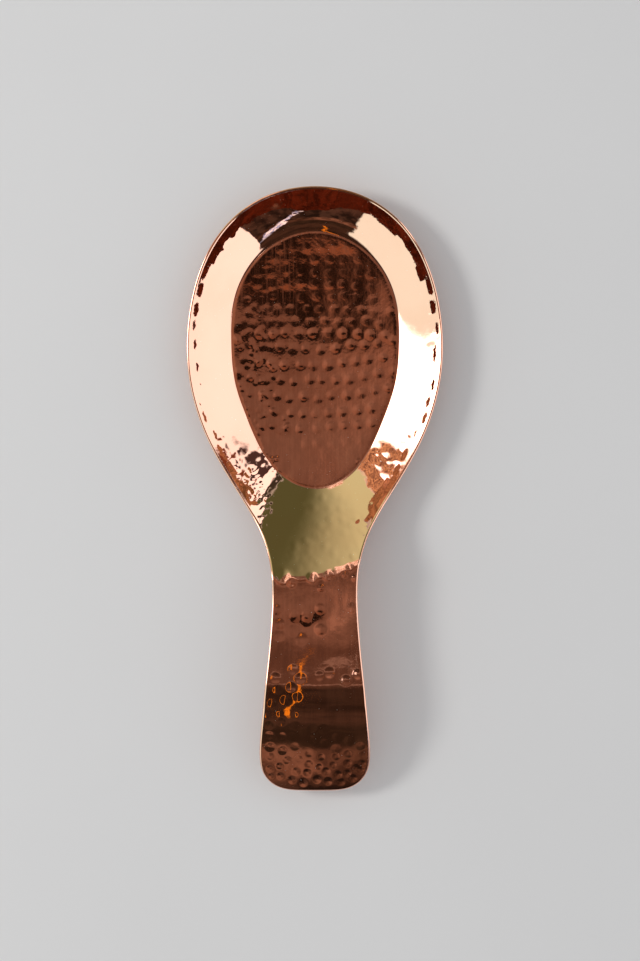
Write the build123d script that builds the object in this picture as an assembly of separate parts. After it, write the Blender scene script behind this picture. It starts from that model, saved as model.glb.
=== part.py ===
# Spoon rest pressed from one sheet of hammered copper: a flat egg-shaped
# floor, a concave wall round it, a ramp at the neck and a flared, bowed
# handle that ends in a rounded, down-turned tip.
#
# Millimetres: +Z up, z = 0 is the table under the floor, x = 0 is the plane
# of symmetry, y = 0 is near the widest part of the bowl. The bowl's far end
# is at +Y and the handle runs towards -Y.
from build123d import *
from bisect import bisect_right
import math
import os

os.makedirs("parts", exist_ok=True)

# ---- driving dimensions -------------------------------------------------
SHEET_T = 1.4            # gauge of the sheet
RIM_Z = 15.4             # height of the bowl's rim, top edge of the sheet
RIM_INSET = 1.0          # how far the sheet's top edge is drawn in at the bowl rim
INSET_START_Y = -92.0    # the inset grows from nothing here
INSET_RUN = 32.0         # to its full size over this length
JUNCTION_Y = -98.5       # where the ramp has become the handle
JUNCTION_BLEND = 6.0     # rounding between the rim and the junction line
NECK_Y = -80.0           # beyond this the sloping surface may run into the handle
TIP_SIDE_Y = -164.0      # where the side of the handle turns into the rounded tip
LIP_POWER = 4.0          # how sharply the side lips turn up beside the ramp
CROWN = 0.5              # rise of the handle's centre line above its edge height
CROWN_FALL = 0.0015      # fall of the crown, per mm, with the square of x
CROWN_RUN = 30.0         # length over which the crown grows from the junction

# Directions of the crease normal, in degrees from -Y
RAMP_ANGLE = 38.0        # pure ramp below this
RAMP_BLEND = 24.0        # blends into pure wall over this much more
WALL_LINES_END = 48.0    # last plain wall line
CORNER_ANGLE = 20.0      # line that meets the handle's corner

# Ramp profile: shares of the climb and of the run
RAMP_SLOPE = 0.75        # slope at the crease
RAMP_GAIN = 0.10         # steepening near the crease
RAMP_GAIN_RUN = 0.4      # share of the run it takes
RAMP_ROLL = 0.16         # last share of the run, where the ramp rolls over

# Numbers of points and sections
N_WALL, N_NECK, N_RAMP = 26, 8, 6   # lines on each side: wall, neck and ramp
N_UP = 16                           # sections from the crease to the rim
N_ALONG, N_ACROSS = 20, 12          # sections of the handle, points on half of each
N_PHI, N_RIM = 180, 1200            # samples of the crease and of the rim
SLOPE_STEP = 0.05                   # finite difference for slopes and tangents

# floor crease: polar radius about (0, CREASE_Y), cosine terms of the angle from +Y
CREASE_Y = -4.0
CREASE = (42.761, 0.200, 8.967, -1.872, 1.283, -0.814, 0.313)

# (x, y) of the sheet's outer edge seen from above, +X half, from the far end
# of the bowl to the tip of the handle
OUTLINE = [
    (0.00, 64.50), (11.92, 63.15), (23.13, 59.01), (32.92, 52.17),
    (40.72, 43.12), (46.35, 32.55), (50.02, 21.12), (52.06, 9.28),
    (52.66, -2.71), (51.69, -14.65), (49.07, -26.35), (45.00, -37.61),
    (39.61, -48.31), (33.43, -58.62), (27.02, -68.82), (21.36, -79.38),
    (18.03, -90.75), (17.29, -102.67), (17.82, -114.69), (18.82, -126.66),
    (20.08, -138.60), (21.25, -150.56), (22.00, -158.51), (22.57, -165.49),
    (22.52, -170.82), (21.92, -174.52), (20.45, -177.94), (18.02, -180.76),
    (14.85, -182.73), (11.26, -183.75), (7.52, -184.10), (3.75, -184.18),
    (0.00, -184.21)]

# (y, rise per mm towards -Y) of the sheet's edge: it climbs at the neck, is
# almost level along the handle and falls to the tip
EDGE_SLOPE = [
    (-48.0, 0.0), (-56.0, 0.0), (-64.0, 0.10), (-72.0, 0.30), (-80.0, 0.60),
    (-87.0, 0.68), (-91.0, 0.50), (-95.0, 0.15), (JUNCTION_Y, 0.0), (-108.0, 0.02),
    (-122.0, 0.0), (-138.0, 0.0), (-146.0, -0.17), (-158.7, -0.48), (-167.7, -0.55),
    (-177.7, -0.60), (-190.0, -0.68)]


# ---- curve helpers ------------------------------------------------------
def smooth(x):
    """Step from 0 to 1 with level ends."""
    x = min(max(x, 0.0), 1.0)
    return x * x * (3.0 - 2.0 * x)


def smooth_sum(x):
    """Integral of smooth() from 0 to x."""
    if x <= 0.0:
        return 0.0
    if x >= 1.0:
        return x - 0.5
    return x ** 3 - 0.5 * x ** 4


def cubic_spline(at, values, level_ends):
    """Interpolating function with natural ends, or with level ends."""
    # Tridiagonal system for the second derivatives
    count = len(at)
    below, diagonal = [0.0] * count, [1.0] * count
    above, right = [0.0] * count, [0.0] * count
    gaps = [b - a for a, b in zip(at, at[1:])]
    slopes = [(b - a) / gap for a, b, gap in zip(values, values[1:], gaps)]
    for i in range(1, count - 1):
        below[i], above[i] = gaps[i - 1] / 6.0, gaps[i] / 6.0
        diagonal[i] = (gaps[i - 1] + gaps[i]) / 3.0
        right[i] = slopes[i] - slopes[i - 1]
    if level_ends:
        diagonal[0], above[0], right[0] = gaps[0] / 3.0, gaps[0] / 6.0, slopes[0]
        below[-1], diagonal[-1], right[-1] = gaps[-1] / 6.0, gaps[-1] / 3.0, -slopes[-1]
    for i in range(1, count):
        factor = below[i] / diagonal[i - 1]
        diagonal[i] -= factor * above[i - 1]
        right[i] -= factor * right[i - 1]
    bends = [0.0] * count
    bends[-1] = right[-1] / diagonal[-1]
    for i in range(count - 2, -1, -1):
        bends[i] = (right[i] - above[i] * bends[i + 1]) / diagonal[i]

    def value(t):
        high = min(max(bisect_right(at, t), 1), count - 1)
        low = high - 1
        gap = gaps[low]
        p, q = (at[high] - t) / gap, (t - at[low]) / gap
        cubic = (p ** 3 - p) * bends[low] + (q ** 3 - q) * bends[high]
        return p * values[low] + q * values[high] + cubic * gap * gap / 6.0

    return value


def running_length(points):
    lengths = [0.0]
    for start, end in zip(points, points[1:]):
        lengths.append(lengths[-1] + math.dist(start, end))
    return lengths


# ---- plan curves --------------------------------------------------------
def crease(phi):
    """Point on the floor crease and its outward unit normal."""
    radius = sum(a * math.cos(k * phi) for k, a in enumerate(CREASE))
    growth = sum(-k * a * math.sin(k * phi) for k, a in enumerate(CREASE))
    sine, cosine = math.sin(phi), math.cos(phi)
    along_x = growth * sine + radius * cosine
    along_y = growth * cosine - radius * sine
    size = math.hypot(along_x, along_y)
    return radius * sine, CREASE_Y + radius * cosine, -along_y / size, along_x / size


def neck_angle(out_x, out_y):
    """Degrees between an outward normal and -Y."""
    return math.degrees(math.atan2(abs(out_x), -out_y))


def edge_z(y):
    """Height of the top of the sheet along its outer edge: EDGE_SLOPE summed."""
    z = RIM_Z
    for (y0, slope0), (y1, slope1) in zip(EDGE_SLOPE, EDGE_SLOPE[1:]):
        if y >= y0:
            break
        end_y = max(y, y1)
        end_slope = slope0 + (slope1 - slope0) * (end_y - y0) / (y1 - y0)
        z += 0.5 * (slope0 + end_slope) * (y0 - end_y)
    return z


outline_at = running_length(OUTLINE)
OUTLINE_LEN = outline_at[-1]
outline_x = cubic_spline(outline_at, [x for x, y in OUTLINE], level_ends=False)
outline_y = cubic_spline(outline_at, [y for x, y in OUTLINE], level_ends=True)


def rim(t):
    """Top edge of the sheet at outline length t: drawn in where the wall slopes."""
    before, after = max(t - SLOPE_STEP, 0.0), min(t + SLOPE_STEP, OUTLINE_LEN)
    dx = outline_x(after) - outline_x(before)
    dy = outline_y(after) - outline_y(before)
    size = math.hypot(dx, dy)
    x, y = outline_x(t), outline_y(t)
    inset = RIM_INSET * smooth((y - INSET_START_Y) / INSET_RUN)
    if t <= 0.0 or t >= OUTLINE_LEN:
        return 0.0, y - inset
    return x + inset * dy / size, y - inset * dx / size


RIM_LENGTHS = [OUTLINE_LEN * i / N_RIM for i in range(N_RIM + 1)]
RIM_POINTS = [rim(t) for t in RIM_LENGTHS]


def ray_to_rim(x, y, out_x, out_y):
    """Distance along a ray to the rim, and the outline length there."""
    best, where = 1e9, 0.0
    for i, ((ax, ay), (bx, by)) in enumerate(zip(RIM_POINTS, RIM_POINTS[1:])):
        dx, dy = bx - ax, by - ay
        cross = out_x * dy - out_y * dx
        if abs(cross) < 1e-12:
            continue
        distance = ((ax - x) * dy - (ay - y) * dx) / cross
        share = ((ax - x) * out_y - (ay - y) * out_x) / cross
        if -1e-9 <= share <= 1.0 + 1e-9 and 0.0 < distance < best:
            best, where = distance, OUTLINE_LEN * (i + share) / N_RIM
    return best, where


def rim_length_at_y(y):
    """Outline length where the side of the handle passes y."""
    t = min((abs(p[1] - y), t) for p, t in zip(RIM_POINTS, RIM_LENGTHS) if p[0] > 15.0)[1]
    for _ in range(40):
        t += (rim(t)[1] - y) * 0.9
    return t


# ---- reach of the sloping surface, sampled round the crease --------------
PHIS = [math.pi * i / N_PHI for i in range(N_PHI + 1)]


def measure_reach(i):
    """Length of the slope along a crease normal, and the outline length it ends at."""
    x, y, out_x, out_y = crease(PHIS[i])
    if i == 0:
        distance, t = RIM_POINTS[0][1] - y, 0.0
    elif i == N_PHI:
        distance, t = 200.0, OUTLINE_LEN    # far past the junction, which cuts it short
    else:
        distance, t = ray_to_rim(x, y, out_x, out_y)
    if out_y < 0.0:
        # smooth minimum of the rim and the junction line
        to_junction = (JUNCTION_Y - y) / out_y
        overlap = max(JUNCTION_BLEND - abs(distance - to_junction), 0.0) / JUNCTION_BLEND
        distance = min(distance, to_junction) - overlap * overlap * JUNCTION_BLEND / 4.0
    return distance, t


reaches, reach_ends = zip(*[measure_reach(i) for i in range(N_PHI + 1)])
reach = cubic_spline(PHIS, reaches, level_ends=True)


def reach_end(phi):
    """Outline length where the crease normal at phi meets the rim."""
    place = phi / math.pi * N_PHI
    i = min(int(place), N_PHI - 1)
    return reach_ends[i] + (reach_ends[i + 1] - reach_ends[i]) * (place - i)


# ---- the pressed surface ------------------------------------------------
def handle_z(x, y):
    grown = smooth((JUNCTION_Y - y) / CROWN_RUN)
    return edge_z(y) + CROWN * grown - CROWN_FALL * grown * x * x


def ramp_shape(v):
    return (RAMP_SLOPE * v + RAMP_GAIN * smooth_sum(v / RAMP_GAIN_RUN)
            - RAMP_ROLL * smooth_sum((v - (1.0 - RAMP_ROLL)) / RAMP_ROLL))


RAMP_RUN = reaches[-1]
RAMP_SCALE = (handle_z(0.0, JUNCTION_Y) - SHEET_T) / ramp_shape(1.0)


def ramp_climb(distance):
    """Climb of the ramp at a distance from the crease."""
    return RAMP_SCALE * ramp_shape(min(max(distance / RAMP_RUN, 0.0), 1.0))


def nearest_crease(x, y):
    """Crease angle whose normal passes through (x, y)."""
    phi = math.atan2(x, y - CREASE_Y)
    radius = math.hypot(x, y - CREASE_Y)
    for _ in range(30):
        foot_x, foot_y, out_x, out_y = crease(phi)
        off = (x - foot_x) * out_y - (y - foot_y) * out_x    # along the tangent
        if abs(off) < 1e-9:
            break
        phi = min(max(phi + 0.7 * off / radius, 0.0), math.pi)
    return phi


def wall_climb(phi, v, run, rise):
    """Climb of the wall at share v of its run: cupped at the far end."""
    turn = 0.68 + 0.32 * smooth((phi - 0.5) / 1.2)      # share where it passes 45 degrees
    bend = min(max((run / rise - 1.0) / (turn - 0.5), 0.0), 1.05)
    side_wall = (1.0 - 0.5 * bend) * v + 0.5 * bend * v * v
    end_wall = (0.1 * v + 1.35 * v * v - 0.5 * v ** 3) / 0.95
    far = smooth(1.0 - phi / 0.62)
    return rise * (far * end_wall + (1.0 - far) * side_wall)


def top_z(x, y):
    """Height of the top of the sheet over (x, y), outside the floor."""
    x = abs(x)
    phi = nearest_crease(x, y)
    foot_x, foot_y, out_x, out_y = crease(phi)
    distance = (x - foot_x) * out_x + (y - foot_y) * out_y
    run = reach(phi)
    end_x, end_y = foot_x + out_x * run, foot_y + out_y * run
    if distance >= run and end_y < NECK_Y:
        return handle_z(x, y)
    v = max(distance / run, 0.0)
    rise = handle_z(end_x, end_y) - SHEET_T
    wall = wall_climb(phi, v, run, rise)
    wall_share = smooth((neck_angle(out_x, out_y) - RAMP_ANGLE) / RAMP_BLEND)
    if wall_share >= 1.0:
        return SHEET_T + wall
    # the ramp rolls over into the handle, with lips at its sides
    ramp = ramp_climb(distance) + (rise - ramp_climb(run)) * v ** LIP_POWER
    return SHEET_T + wall_share * wall + (1.0 - wall_share) * ramp


# ---- point pairs: top of the sheet, and bottom one gauge below it ---------
def sheet_pair(height, x, y):
    """Pair square to the surface z = height(x, y)."""
    step = SLOPE_STEP
    slope_x = (height(x + step, y) - height(x - step, y)) / (2 * step)
    slope_y = (height(x, y + step) - height(x, y - step)) / (2 * step)
    offset = SHEET_T / math.sqrt(1 + slope_x * slope_x + slope_y * slope_y)
    z = height(x, y)
    return (x, y, z), (x + offset * slope_x, y + offset * slope_y, z - offset)


def junction_pair(x):
    """Pair on the level line where ramp and handle meet."""
    z = edge_z(JUNCTION_Y)
    return (x, JUNCTION_Y, z), (x, JUNCTION_Y, z - SHEET_T)


def bowl_pair(line, v):
    """Pair on one line, v from crease to rim."""
    phi, (end_x, end_y) = line
    x, y, out_x, out_y = crease(phi)
    if phi > math.pi - 1e-9:
        x, out_x = 0.0, 0.0
    if v == 0.0:
        # the bottom's crease lies on the bisector of the bend
        step = 0.02
        climb = (top_z(x + out_x * 2 * step, y + out_y * 2 * step)
                 - top_z(x + out_x * step, y + out_y * step))
        shift = SHEET_T * math.tan(0.5 * math.atan(climb / step))
        return (x, y, SHEET_T), (x + out_x * shift, y + out_y * shift, 0.0)
    if v == 1.0 and end_y == JUNCTION_Y:
        return junction_pair(end_x)
    return sheet_pair(top_z, x + (end_x - x) * v, y + (end_y - y) * v)


corner_t = rim_length_at_y(JUNCTION_Y)
corner_x = rim(corner_t)[0]
tip_side_t = rim_length_at_y(TIP_SIDE_Y)


def handle_pair(along, out):
    """Pair at shares of the handle's length and half width."""
    if along == 0.0:
        return junction_pair(corner_x * out)
    x, y = rim(corner_t + (tip_side_t - corner_t) * along)
    if out < 1.0:
        # a straight line across at the neck swells into the outline of the tip
        tip_x, tip_y = rim(OUTLINE_LEN + (tip_side_t - OUTLINE_LEN) * out)
        swell = along ** 3
        x = (1.0 - swell) * x * out + swell * tip_x
        y = (1.0 - swell) * y + swell * tip_y
    return sheet_pair(handle_z, x, y)


# ---- rows of points -----------------------------------------------------
def bowl_lines():
    """(crease angle, end point) of the +X lines: wall with neck, and ramp.

    Both lists start at x = 0 and end on the line to the handle's corner.
    """
    wall_phi, corner_phi = (
        next(phi for phi in PHIS if neck_angle(*crease(phi)[2:]) < angle)
        for angle in (WALL_LINES_END, CORNER_ANGLE))
    step = wall_phi / N_WALL
    wall = [(step * i, rim(reach_end(step * i))) for i in range(N_WALL + 1)]
    # the neck lines start at the wall's spacing on the rim
    wall_t = reach_end(wall_phi)
    lead = (wall_t - reach_end(wall_phi - step)) * N_NECK
    for i in range(1, N_NECK):
        q = i / N_NECK
        t = wall_t + lead * q + (corner_t - wall_t - lead) * q * q
        wall.append((wall_phi + (corner_phi - wall_phi) * q, rim(t)))
    corner_line = (corner_phi, (corner_x, JUNCTION_Y))
    ramp = []
    for i in range(N_RAMP, 0, -1):
        q = i / N_RAMP
        ramp.append((corner_phi + (math.pi - corner_phi) * q,
                     (corner_x * (1.0 - q), JUNCTION_Y)))
    return wall + [corner_line], ramp + [corner_line]


def whole_rows(pairs):
    """Top and bottom rows from +X pairs that start at x = 0, mirrored to -X."""
    return [[(-x, y, z) for x, y, z in row[:0:-1]] + list(row) for row in zip(*pairs)]


def bowl_rows(lines):
    rows = []
    for j in range(N_UP + 1):
        v = j / N_UP * (1.35 - 0.35 * j / N_UP)      # closer together near the rim
        rows.append(whole_rows([bowl_pair(line, v) for line in lines]))
    return rows


# ---- edges and shells ---------------------------------------------------
def spline_edge(points, parameters):
    return Edge.make_spline([Vector(*p) for p in points], parameters=parameters)


def line_edge(start, end):
    return Edge.make_line(Vector(*start), Vector(*end))


def bowl_loops():
    """Closed (wall edge, ramp edge) loops from crease to rim, for top and bottom."""
    wall_rows, ramp_rows = (bowl_rows(lines) for lines in bowl_lines())

    # the top's middle rows set the parameters of every spline
    def middle_parameters(rows):
        lengths = running_length(rows[N_UP // 2][0])
        return [length / lengths[-1] for length in lengths]

    wall_parameters = middle_parameters(wall_rows)
    ramp_parameters = middle_parameters(ramp_rows)
    loops = ([], [])
    for j in range(N_UP + 1):
        for side in (0, 1):
            ramp_row = ramp_rows[j][side]
            wall = spline_edge(wall_rows[j][side], wall_parameters)
            if j == N_UP:
                ramp = line_edge(ramp_row[0], ramp_row[-1])
            else:
                ramp = spline_edge(ramp_row, ramp_parameters)
            loops[side].append((wall, ramp))
    return loops


def handle_faces():
    """Tube of the handle, closed at the tip and open at the junction."""
    across = [i / (2 * N_ACROSS) for i in range(2 * N_ACROSS + 1)]
    wires = []
    for j in range(N_ALONG + 1):
        top, bottom = whole_rows(
            [handle_pair(j / N_ALONG, i / N_ACROSS) for i in range(N_ACROSS + 1)])
        if j == 0:
            upper = line_edge(top[0], top[-1])
            lower = line_edge(bottom[-1], bottom[0])
        else:
            upper = spline_edge(top, across)
            lower = spline_edge(bottom[::-1], across)
        plus_side = line_edge(top[-1], bottom[-1])
        minus_side = line_edge(bottom[0], top[0])
        wires.append(Wire([upper, plus_side, lower, minus_side]))
    tube = Shell.make_loft(wires)
    tip = Face.make_surface_from_curves(upper, spline_edge(bottom, across))
    return tube.faces(), tip


def spoon_rest():
    loops = bowl_loops()
    skins = [Shell.make_loft([Wire(list(loop)) for loop in side]) for side in loops]
    tube_faces, tip_face = handle_faces()
    rim_face = Face.make_surface_from_curves(loops[0][-1][0], loops[1][-1][0])
    floors = [Face(Wire(list(side[0]))) for side in loops]
    faces = [*skins[0].faces(), *skins[1].faces(), *tube_faces, rim_face, tip_face, *floors]
    return Solid(Shell(faces))


spoon_rest_body = spoon_rest()
spoon_rest_body.label = "spoon_rest_body"
export_step(spoon_rest_body, "parts/spoon_rest_body.step")
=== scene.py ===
"""A spoon rest pressed from one sheet of hammered, polished copper.

It lies flat, face up (+Z). The oval bowl is round the origin, the handle runs
towards -Y, and the rest is symmetric about x = 0 apart from its dents and a
slightly askew bend. Lengths are in millimetres until the mesh is scaled to
metres. The fine mesh, with its dents, rounded edge and tight floor crease,
stands for the plain CAD sheet.
"""

import math

import bpy
import numpy as np
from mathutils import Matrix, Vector
from mathutils.geometry import delaunay_2d_cdt
from mathutils.kdtree import KDTree


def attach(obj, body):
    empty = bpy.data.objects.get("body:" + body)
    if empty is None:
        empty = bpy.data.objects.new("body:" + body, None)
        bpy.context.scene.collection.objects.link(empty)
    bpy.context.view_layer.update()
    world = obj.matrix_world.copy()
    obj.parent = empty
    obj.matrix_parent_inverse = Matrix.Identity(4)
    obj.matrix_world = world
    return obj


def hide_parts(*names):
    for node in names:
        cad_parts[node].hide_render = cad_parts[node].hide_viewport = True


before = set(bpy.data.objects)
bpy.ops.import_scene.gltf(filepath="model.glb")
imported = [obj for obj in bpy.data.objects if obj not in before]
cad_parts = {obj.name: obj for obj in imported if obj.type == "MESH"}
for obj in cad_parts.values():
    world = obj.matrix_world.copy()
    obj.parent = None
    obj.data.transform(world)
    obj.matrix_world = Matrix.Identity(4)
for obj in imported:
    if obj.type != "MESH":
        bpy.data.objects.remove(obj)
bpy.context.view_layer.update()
rng = np.random.default_rng(7)

SHEET_T = 1.4
RIM_Z = 15.4
RIM_INSET = 1.0          # how far the rim of the sloping wall is drawn in
JUNCTION_Y = -98.5       # where the ramp out of the bowl meets the handle
CROWN = 0.5              # height of the handle's crown along its middle
CROWN_CURVE = 0.0015     # fall of the crown per squared distance from the middle
CREASE_R = 0.55          # half width over which the floor turns into the wall
LIP_POWER = 4.0          # how sharply the sides of the ramp turn up to the rim
EDGE_BULGE = 0.85        # how far the polished edge rounds out of the sheet
EDGE_RINGS = 9
SHOW_BELOW = 0.55        # how much of each blow shows through on the underside

# The floor crease: its radius is a cosine series in the angle from +Y.
CREASE_Y = -4.0
CREASE = np.array((42.761, 0.200, 8.967, -1.872, 1.283, -0.814, 0.313))
ORDERS = np.arange(len(CREASE))

# Right half of the outline, from the far end of the bowl to the handle tip: x, y
OUTLINE = np.array([
    (0.00, 64.50), (11.92, 63.15), (23.13, 59.01), (32.92, 52.17),
    (40.72, 43.12), (46.35, 32.55), (50.02, 21.12), (52.06, 9.28),
    (52.66, -2.71), (51.69, -14.65), (49.07, -26.35), (45.00, -37.61),
    (39.61, -48.31), (33.43, -58.62), (27.02, -68.82), (21.36, -79.38),
    (18.03, -90.75), (17.29, -102.67), (17.82, -114.69), (18.82, -126.66),
    (20.08, -138.60), (21.25, -150.56), (22.00, -158.51), (22.57, -165.49),
    (22.52, -170.82), (21.92, -174.52), (20.45, -177.94), (18.02, -180.76),
    (14.85, -182.73), (11.26, -183.75), (7.52, -184.10), (3.75, -184.18),
    (0.00, -184.21)])
# Slope of the edge towards the tip: y, rise per length
EDGE_SLOPE = np.array([
    (-48.0, 0.0), (-56.0, 0.0), (-64.0, 0.10), (-72.0, 0.30), (-80.0, 0.60),
    (-87.0, 0.68), (-91.0, 0.50), (-95.0, 0.15), (-98.5, 0.0), (-108.0, 0.02),
    (-122.0, 0.0), (-138.0, 0.0), (-146.0, -0.17), (-158.7, -0.48),
    (-167.7, -0.55), (-177.7, -0.60), (-190.0, -0.68)])


# ---- curves --------------------------------------------------------------
def smoothstep(value, start, end):
    """Ease from 0 at start to 1 at end, which may lie below start."""
    t = np.clip((value - start) / (end - start), 0.0, 1.0)
    return t * t * (3.0 - 2.0 * t)


def smoothstep_sum(value):
    """Integral from 0 of the smoothstep between 0 and 1."""
    t = np.clip(value, 0.0, 1.0)
    return t ** 3 - 0.5 * t ** 4 + np.maximum(value - 1.0, 0.0)


class Spline:
    """Cubic spline whose ends are either free of curvature or level."""

    def __init__(self, knots, values, level_ends):
        self.knots, self.values = knots, values
        count = len(knots)
        matrix = np.zeros((count, count))
        right = np.zeros(count)
        gap = np.diff(knots)
        slope = np.diff(values) / gap
        for i in range(1, count - 1):
            matrix[i, i - 1:i + 2] = gap[i - 1] / 6, (gap[i - 1] + gap[i]) / 3, gap[i] / 6
            right[i] = slope[i] - slope[i - 1]
        matrix[0, 0] = matrix[-1, -1] = 1.0
        if level_ends:
            matrix[0, :2] = gap[0] / 3, gap[0] / 6
            matrix[-1, -2:] = gap[-1] / 6, gap[-1] / 3
            right[0], right[-1] = slope[0], -slope[-1]
        self.moments = np.linalg.solve(matrix, right)

    def __call__(self, at):
        knots, values, moments = self.knots, self.values, self.moments
        i = np.clip(np.searchsorted(knots, at, side="right") - 1, 0, len(knots) - 2)
        gap = knots[i + 1] - knots[i]
        p, q = (knots[i + 1] - at) / gap, (at - knots[i]) / gap
        bend = (p ** 3 - p) * moments[i] + (q ** 3 - q) * moments[i + 1]
        return p * values[i] + q * values[i + 1] + bend * gap * gap / 6


def crease(angle):
    """Crease point, outward normal, speed and curvature at each angle from +Y."""
    turns = np.multiply.outer(angle, ORDERS)
    cosines, sines = np.cos(turns), np.sin(turns)
    radius = cosines @ CREASE
    first = sines @ (-ORDERS * CREASE)
    second = cosines @ (-ORDERS * ORDERS * CREASE)
    sin, cos = np.sin(angle), np.cos(angle)
    tx, ty = first * sin + radius * cos, first * cos - radius * sin
    speed = np.hypot(tx, ty)
    curvature = (radius * radius + 2 * first * first - radius * second) / speed ** 3
    return radius * sin, CREASE_Y + radius * cos, -ty / speed, tx / speed, speed, curvature


chords = np.concatenate([[0.0], np.cumsum(np.hypot(*np.diff(OUTLINE, axis=0).T))])
OUTLINE_LENGTH = float(chords[-1])
outline_x = Spline(chords, OUTLINE[:, 0], level_ends=False)
outline_y = Spline(chords, OUTLINE[:, 1], level_ends=True)


def rim(along, rounded=False):
    """Top edge of the sheet: the outline drawn in where the wall slopes, and
    drawn in a little more where the rounding of the edge starts."""
    step = 0.05
    before = np.maximum(along - step, 0.0)
    after = np.minimum(along + step, OUTLINE_LENGTH)
    dx = outline_x(after) - outline_x(before)
    dy = outline_y(after) - outline_y(before)
    length = np.hypot(dx, dy)
    x, y = outline_x(along), outline_y(along)
    bowl = smoothstep(y, -92.0, -60.0)
    inset = RIM_INSET * bowl + (EDGE_BULGE - 0.43 * bowl if rounded else 0.0)
    tangent_x, tangent_y = dx / length, dy / length
    at_end = (along <= 0.0) | (along >= OUTLINE_LENGTH)
    tangent_y = np.where(at_end, 0.0, tangent_y)
    return x + inset * tangent_y, y - inset * tangent_x


# ---- the pressed surface, before hammering -------------------------------
stations, slopes = -EDGE_SLOPE[:, 0], EDGE_SLOPE[:, 1]
station_z = np.cumsum(np.concatenate(
    [[RIM_Z], 0.5 * (slopes[:-1] + slopes[1:]) * np.diff(stations)]))


def edge_z(y):
    """Height of the edge, whose slope runs straight between the stations."""
    at = np.clip(-y, stations[0], stations[-1])
    i = np.clip(np.searchsorted(stations, at, side="right") - 1, 0, len(stations) - 2)
    past = at - stations[i]
    change = (slopes[i + 1] - slopes[i]) / (stations[i + 1] - stations[i])
    return station_z[i] + slopes[i] * past + 0.5 * change * past * past


def handle_z(x, y):
    crowned = smoothstep(y, JUNCTION_Y, JUNCTION_Y - 30.0)
    return edge_z(y) + CROWN * crowned - CROWN_CURVE * crowned * x * x


REACH_ANGLES = np.linspace(0, math.pi, 361)


def crease_reach():
    """Distance along the crease normal to the rim, or to the handle junction."""
    rim_x, rim_y = rim(np.linspace(0, OUTLINE_LENGTH, 2401))
    dx, dy = np.diff(rim_x), np.diff(rim_y)
    cx, cy, nx, ny, _, _ = crease(REACH_ANGLES)
    reach = np.zeros(len(REACH_ANGLES))
    reach[0] = rim_y[0] - cy[0]
    reach[-1] = -JUNCTION_Y + cy[-1]
    for i in range(1, len(reach) - 1):
        det = nx[i] * dy - ny[i] * dx
        det = np.where(np.abs(det) < 1e-12, 1e-12, det)
        ax, ay = rim_x[:-1] - cx[i], rim_y[:-1] - cy[i]
        distance = (ax * dy - ay * dx) / det
        place = (ax * ny[i] - ay * nx[i]) / det
        hit = (place >= -1e-9) & (place <= 1 + 1e-9) & (distance > 0)
        nearest_hit = distance[hit].min()
        if ny[i] < 0:
            # a smooth minimum rounds the corner between rim and junction
            to_junction = (JUNCTION_Y - cy[i]) / ny[i]
            width = 6.0
            overlap = max(width - abs(nearest_hit - to_junction), 0.0) / width
            nearest_hit = min(nearest_hit, to_junction) - overlap * overlap * width / 4
        reach[i] = nearest_hit
    return reach


reaches = crease_reach()
reach_at = Spline(REACH_ANGLES, reaches, level_ends=True)
RAMP_RUN = float(reaches[-1])
RAMP_RISE = float(handle_z(0.0, JUNCTION_Y)) - SHEET_T


def nearest(x, y):
    """Angle of the crease point nearest (x, y), signed distance, point and normal."""
    angle = np.arctan2(x, y - CREASE_Y)
    for _ in range(14):
        cx, cy, nx, ny, speed, curvature = crease(angle)
        off = (x - cx) * ny - (y - cy) * nx
        distance = (x - cx) * nx + (y - cy) * ny
        turn = off / (speed * np.maximum(1 + curvature * distance, 0.35))
        angle = np.clip(angle + turn, 0, math.pi)
    cx, cy, nx, ny, _, _ = crease(angle)
    return angle, (x - cx) * nx + (y - cy) * ny, cx, cy, nx, ny


def ramp_climb(distance):
    """Climb of the ramp from the crease; level where it meets the handle."""
    v = np.minimum(distance / RAMP_RUN, 1.0)
    profile_end = 0.87       # value of the profile below at v = 1
    scale = RAMP_RISE / RAMP_RUN / profile_end
    return RAMP_RUN * scale * (0.75 * v + 0.10 * smoothstep_sum(v / 0.4)
                               - 0.16 * smoothstep_sum((v - 0.84) / 0.16))


def base_z(x, y):
    """Height of the top of the undented sheet."""
    # the bend at the handle lies a little askew
    near_bend = smoothstep(y, -58.0, -92.0) * smoothstep(y, -122.0, -100.0)
    y = y - (1.2 + 0.15 * x) * near_bend
    x = np.abs(x)
    angle, distance, cx, cy, nx, ny = nearest(x, y)
    reach = reach_at(angle)
    rim_x, rim_y = cx + nx * reach, cy + ny * reach
    distance = 0.5 * (distance + np.sqrt(distance * distance + CREASE_R ** 2))
    v = distance / reach     # 0 at the crease, 1 at the rim
    rise = handle_z(rim_x, rim_y) - SHEET_T

    # wall: side and far-end profiles
    far = smoothstep(angle, 0.62, 0.0)
    turn = 0.68 + 0.32 * smoothstep(angle, 0.5, 1.7)    # where the wall passes 45 degrees
    bend = np.clip((reach / rise - 1.0) / (turn - 0.5), 0.0, 1.05)
    side_wall = (1.0 - 0.5 * bend) * v + 0.5 * bend * v * v
    end_wall = (0.1 * v + 1.35 * v * v - 0.5 * v ** 3) / 0.95
    wall = rise * (far * end_wall + (1 - far) * side_wall)

    # ramp: its sides turn up to the rim
    lip = (rise - ramp_climb(reach)) * smoothstep(rim_y, -90.0, -84.0)
    ramp = ramp_climb(distance) + lip * np.maximum(v, 0.0) ** LIP_POWER

    # degrees between the crease normal and the handle direction choose wall or ramp
    aside = np.degrees(np.arctan2(np.abs(nx), -ny))
    is_wall = smoothstep(aside, 38.0, 62.0)
    z = SHEET_T + is_wall * wall + (1 - is_wall) * ramp
    return np.where(y < JUNCTION_Y, handle_z(x, y), z)


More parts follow.
